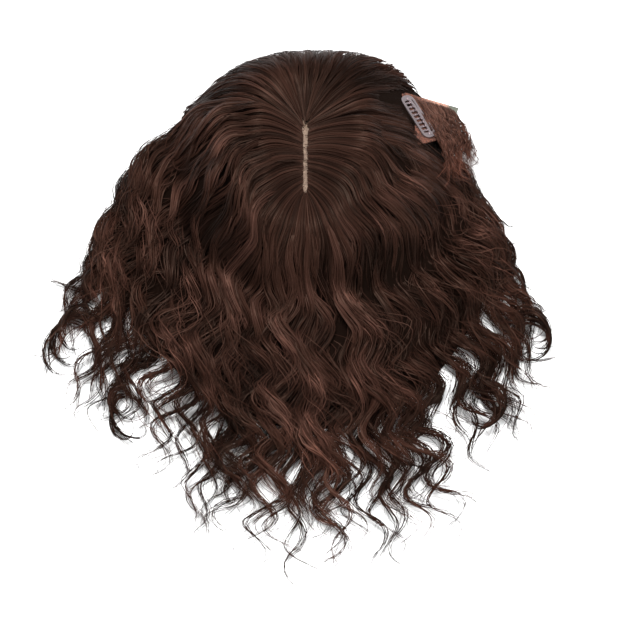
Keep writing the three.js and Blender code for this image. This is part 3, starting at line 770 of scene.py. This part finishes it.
# The smooth hair that starts at the part and covers the roots of the layers.
smoothTop = {
    **common, "locks": 200, "strands": 9, "steps": 20, "startSpread": 0.0, "tipSpread": 0.4,
    "clumpFrom": 0.03, "clumpOver": 0.4, "halfWidth": 0.0022, "halfHeight": 0.0014,
    "depth": 0.0004, "sinkTip": 0.003, "width": 0.00045, "roll": 0.5, "fadeIn": False,
    "tone": 0.42, "drift": 0.001, "loose": 0.3, "freeFrom": 2.0, "hookOver": 0.05,
    "overLine": 0.0009, "gape": 0.0014, "course": {"keep": 0.6, "gather": 0.5}, "wander": 0.001,
}
borderTop = {
    **smoothTop, "locks": 30, "steps": 15, "course": {}, "depth": 0.0012, "overLine": 0.0,
}
borders = {0: (0, 0.1), 1: (0.91, 1.01)}  # by the end of the fan, where the border's locks grow
smoothRows = {
    **rowsOfLocks, "jitter": 0.5, "span": 1.0, "start": (0, 0), "tip": (0.3, 0.5),
    "phase": 0.5, "swing": (0.8, 1.2), "hook": (0.1, 0.3), "rest": 0.0, "deep": 0.001,
    "curl": (0.1, 0.3), "toned": 0.2, "within": 0.5, "apart": 0.0,
}

# Curls at both sides that stick out of the mass: where, which way they set out, how they turn.
curls = {
    "hair_left": [
        {"x": -0.136, "y": -0.004, "heading": 155, "radius": 0.0170, "turn": 4.2},
        {"x": -0.126, "y": 0.030, "heading": 195, "radius": 0.018, "turn": 2.6},
        {"x": -0.112, "y": -0.052, "heading": 200, "radius": 0.015, "turn": 3.4},
    ],
    "hair_right": [
        {"x": 0.138, "y": -0.004, "heading": 25, "radius": -0.0170, "turn": 4.2},
        {"x": 0.130, "y": 0.030, "heading": -12, "radius": -0.017, "turn": 2.6},
        {"x": 0.120, "y": -0.052, "heading": -20, "radius": -0.015, "turn": 3.4},
    ],
}
curlLook = {
    **common, "locks": 7, "strands": 10, "steps": 34, "startSpread": 0.04, "tipSpread": 0.3,
    "clumpFrom": 0.0, "clumpOver": 0.4, "freeFrom": 0.12, "loose": 0.3, "halfWidth": 0.0013,
    "halfHeight": 0.0011, "hookOver": 0.2, "drift": 0.0008, "swing": 0.008, "mostSwing": 0.0016,
    "tone": 0.34, "wander": 0.0008, "phaseOf": lambda way, share: 9 * share + 6 * way,
}
curlRows = {
    **rowsOfLocks, "span": 0.8, "start": (0.08, 0.12), "tip": (0.6, 1.1), "rest": 0.008,
    "phase": 0.8, "hook": (0.1, 0.9), "curl": (0.0, 0.2), "swing": (0.6, 1.2),
}

# The thin hair on the tab isn't cut at the bare window, which it starts beside.
tabHair = {
    **common, "locks": 66, "strands": 6, "steps": 11, "startSpread": 0.04, "tipSpread": 0.2,
    "clumpFrom": 0.1, "clumpOver": 0.6, "halfWidth": 0.0011, "halfHeight": 0.0006, "depth": -0.0006,
    "sink": 0.0, "width": 0.0004, "tone": 0.84, "drift": 0.0018, "loose": 1.0, "freeFrom": 2.0,
    "hookOver": 0.2, "swing": 0.0, "overBase": 0, "sinkTip": 0.0, "cut": False,
}
tabRows = {
    **smoothRows, "span": 0.4, "start": (0.0, 0.15), "tip": (0.9, 1.2), "hook": (0.1, 0.8),
    "deep": 0.0004, "toned": 0.2,
}

# The inner hair of the fan, with its faces across and its valleys counted for the whole fan.
fanInner = {"across": 80, "along": 28, "from": 0.03, "to": 0.6, "under": 0.005, "valleys": 36}


def fanTop(x, y, share, way):
    return hairTop(x, y, share)


hair = hairFinish()


# Strands and inner hair, in the place of a hair node of the frame.
def addHair(name, parts, inner):
    strands = ribbonMesh(name + "_strands", parts)
    piece = joined(name + "_locks", [strands, inner], hair)
    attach(piece, "root")
    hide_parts(name)
    triangles = sum(len(face.vertices) - 2 for face in piece.data.polygons)
    print(name, "grown:", triangles, "triangles")


for name, ways in sections.items():
    width = ways[1] - ways[0]
    parts = []
    for curl in curls.get(name, []):
        rows = lockRows(curlLook["locks"], (0, 1), curlRows)
        parts.append(growLocks(curlLine(curl), curlTop, rows, curlLook))
    full = width * fullness[name]
    bunch = bunches(round(bunchLook["count"] * full), ways, bunchLook)
    for locks, look, values in layers:
        look = {**look, "tone": look["tone"] + sideLightPainted[name]}
        rows = lockRows(round(locks * full), ways, values, bunch)
        parts.append(growLocks(fanLine, fanTop, rows, look))
    rows = lockRows(round(smoothTop["locks"] * width), ways, smoothRows)
    parts.append(growLocks(fanLine, fanTop, rows, smoothTop))
    for end, byEnd in borders.items():
        if end in ways:
            rows = lockRows(borderTop["locks"], byEnd, smoothRows)
            parts.append(growLocks(fanLine, fanTop, rows, borderTop))
    if name == "hair_right":
        rows = lockRows(tabHair["locks"], (0, 1), tabRows)
        parts.append(growLocks(tabLine, tabTop, rows, tabHair))
    counts = {key: round(fanInner[key] * width) for key in ("across", "valleys")}
    inner = innerHair(name + "_inner", fanPlace, fanTop, ways, {**fanInner, **counts})
    addHair(name, parts, inner)

crownLook = {
    **smoothTop, "locks": 120, "strands": 15, "steps": 22, "tipSpread": 0.04, "clumpFrom": 0.3,
    "clumpOver": 0.6, "halfWidth": 0.004, "swing": 0.004, "sinkTip": 0.0, "course": {},
    "overLine": 0.0008, "tipWidth": 0.8, "fork": 0.004, "patched": 0.05,
    "phaseOf": lambda way, share: 4 * share + 6 * way,
}
crownRows = {**smoothRows, "tip": (1.035, 1.075), "hook": (0.1, 0.2)}
crownInner = {"across": 44, "along": 18, "from": 0.05, "to": 1.05, "under": 0.0018, "valleys": 10}
rows = lockRows(crownLook["locks"], (0, 1), crownRows)
crown = growLocks(crownLine, crownTop, rows, crownLook)
addHair("hair_crown", [crown], innerHair("crown_inner", crownLine, crownTop, (0, 1), crownInner))

stripLook = {
    "skin": (0.165, 0.112, 0.078, 1), "shade": (0.085, 0.050, 0.033, 1),
    "root": (0.016, 0.008, 0.006, 1), "roots": 900,
}
netLook = {
    "meshes": 620, "thread": (0.115, 0.042, 0.026, 1), "hole": (0.020, 0.0085, 0.0065, 1),
    "wefts": 34, "tip": (0.085, 0.088, 0.070, 1), "tipFrom": 0.0245, "tipOver": 0.002,
    "edge": (0.42, 0.23, 0.17, 1), "edgeWidth": 0.0026, "edgeFrom": 0.010, "edgeFull": 0.020,
    "skinAt": 0.002, "skinFrom": 0.011, "skinFull": 0.006,
}


def netFinish():
    finish = Finish("brownLaceNet", {"Specular IOR Level": 0.25, "Roughness": 0.75})
    place = finish.node("ShaderNodeTexCoord", {}, {}, 3)
    cells = finish.node("ShaderNodeTexVoronoi", {"feature": "DISTANCE_TO_EDGE"}, {
        "Vector": place, "Scale": netLook["meshes"], "Randomness": 0.45,
    })
    hole = finish.range(cells, 0.06, 0.17)
    wefts = finish.node("ShaderNodeTexWave", {"bands_direction": "Y"}, {
        "Vector": place, "Scale": netLook["wefts"], "Distortion": 0.6, "Detail": 1.0,
    }, 1)
    weft = finish.range(wefts, 0.75, 0.95)
    cloud = finish.node("ShaderNodeTexNoise", {}, {"Vector": place, "Scale": 60.0, "Detail": 3.0})
    net = finish.blend(hole, netLook["thread"], netLook["hole"])
    net = finish.blend(weft * 0.6, net, netLook["hole"])
    net = finish.blend(finish.range(cloud, 0.45, 0.7) * 0.5, net, netLook["thread"])
    onTab = finish.node("ShaderNodeMapping", {"vector_type": "POINT"}, {
        "Vector": finish.node("ShaderNodeVectorMath", {"operation": "SUBTRACT"}, {
            0: place, 1: (*(baseMiddle + clipMiddle), 0),
        }),
        "Rotation": (0, 0, -np.radians(tab["clipTurn"])),
    })
    lengthwise, outwards, _ = finish.split(onTab)
    flat = np.cos(np.radians(tab["slope"]))
    rear, tip = tab["rear"] * flat, tab["tip"] * flat
    slant = np.arctan2(tip - rear, tab["end"] + tab["edge"])
    inside = (lengthwise + tab["end"]) * np.sin(slant) - (outwards - rear) * np.cos(slant)
    nearEdge = finish.range(inside, netLook["edgeWidth"], netLook["edgeWidth"] * 0.4)
    onPlate = finish.range(outwards, netLook["edgeFrom"], netLook["edgeFull"]) * nearEdge
    skinPlace = baseMiddle + (part["x"], partTop + netLook["skinAt"])
    fromPart = finish.node("ShaderNodeVectorMath", {"operation": "DISTANCE"}, {
        0: place, 1: (*skinPlace, base["height"]),
    }, 1)
    skin = finish.range(fromPart, netLook["skinFrom"], netLook["skinFull"])
    net = finish.blend(skin, net, stripLook["skin"])
    net = finish.blend(onPlate * (0.9 - hole * 0.4), net, netLook["edge"])
    onTip = finish.range(outwards, netLook["tipFrom"], netLook["tipFrom"] + netLook["tipOver"])
    finish.feed("Base Color", finish.blend(onTip, net, netLook["tip"]))
    finish.bump(1 - hole + weft, 0.6, 0.0003)
    return finish.material


def stripFinish():
    finish = Finish("partingSkin", {"Specular IOR Level": 0.25, "Roughness": 0.65})
    place = finish.node("ShaderNodeTexCoord", {}, {}, 3)
    cloud = finish.node("ShaderNodeTexNoise", {}, {"Vector": place, "Scale": 260.0, "Detail": 3.0})
    holes = finish.node("ShaderNodeTexVoronoi", {}, {"Vector": place, "Scale": stripLook["roots"]})
    skin = finish.blend(finish.range(cloud, 0.35, 0.7), stripLook["skin"], stripLook["shade"])
    root = finish.range(holes, 0.32, 0.2)
    finish.feed("Base Color", finish.blend(root * 0.8, skin, stripLook["root"]))
    finish.bump(1 - root, 0.4, 0.0002)
    return finish.material


clipLook = {
    "steel": (0.30, 0.255, 0.265, 1), "worn": (0.17, 0.14, 0.14, 1), "brushed": 1400,
    "stretched": 12, "roughness": 0.38, "brushedRougher": 0.16, "wornRougher": 0.2,
}


def clipFinish():
    finish = Finish("brushedClipSteel", {"Metallic": 1.0})
    place = finish.node("ShaderNodeTexCoord", {}, {}, 3)
    lines = finish.node("ShaderNodeTexNoise", {}, {
        "Scale": 1.0, "Detail": 2.0, "Vector": finish.node("ShaderNodeMapping", {}, {
            "Vector": place, "Rotation": (0, 0, -np.radians(tab["clipTurn"])),
            "Scale": (clipLook["brushed"] / clipLook["stretched"], *[clipLook["brushed"]] * 2),
        }),
    })
    spots = finish.node("ShaderNodeTexNoise", {}, {"Vector": place, "Scale": 330.0, "Detail": 4.0})
    worn = finish.range(spots, 0.56, 0.72)
    finish.feed("Base Color", finish.blend(worn * 0.7, clipLook["steel"], clipLook["worn"]))
    rougher = lines * clipLook["brushedRougher"] + worn * clipLook["wornRougher"]
    finish.feed("Roughness", clipLook["roughness"] + rougher)
    finish.bump(lines, 0.15, 0.0001)
    return finish.material


finishes = {"lace_base": netFinish(), "parting_strip": stripFinish()}
steel = clipFinish()
for name, node in nodes.items():
    if name.startswith("snap_clip"):
        finishes[name] = steel
for name, material in finishes.items():
    nodes[name].data.materials.clear()
    nodes[name].data.materials.append(material)
print("finishes laid on")

studio = {
    "target": (0.0132, -0.0099, 0.015), "distance": 3.6, "elevation": 68, "across": 0.4128,
    "floorSize": 8, "floor": (0.86, 0.86, 0.86), "sky": 0.55,
}
bpy.ops.mesh.primitive_plane_add(size=studio["floorSize"], location=(0, 0, 0))
floor = bpy.context.object
floor.name = "floor"
floor.data.materials.append(plainFinish("paleFloor", studio["floor"], 0.9))

world = bpy.data.worlds.new("studio")
bpy.context.scene.world = world
world.use_nodes = True
sky = world.node_tree.nodes["Background"].inputs
sky["Color"].default_value = (1, 1, 1, 1)
sky["Strength"].default_value = studio["sky"]


def softLight(name, place, size, power):
    lamp = bpy.data.lights.new(name, "AREA")
    lamp.shape, lamp.size, lamp.energy = "DISK", size, power
    lit = bpy.data.objects.new(name, lamp)
    lit.location = place
    lit.rotation_euler = (-Vector(place)).to_track_quat("-Z", "Y").to_euler()
    bpy.context.scene.collection.objects.link(lit)


softLight("keyLight", (-0.2, 0.55, 1.65), 0.7, 60)
softLight("fillLight", (1.2, -0.8, 1.3), 1.4, 42)

target = Vector(studio["target"])
elevation = np.radians(studio["elevation"])
lens = bpy.data.cameras.new("camera")
lens.lens = 36 * studio["distance"] / studio["across"]
camera = bpy.data.objects.new("camera", lens)
camera.location = target + studio["distance"] * Vector((0, -np.cos(elevation), np.sin(elevation)))
camera.rotation_euler = (target - camera.location).to_track_quat("-Z", "Y").to_euler()
bpy.context.scene.collection.objects.link(camera)
bpy.context.scene.camera = camera
bpy.context.scene.view_settings.view_transform = "Standard"
print("studio ready")
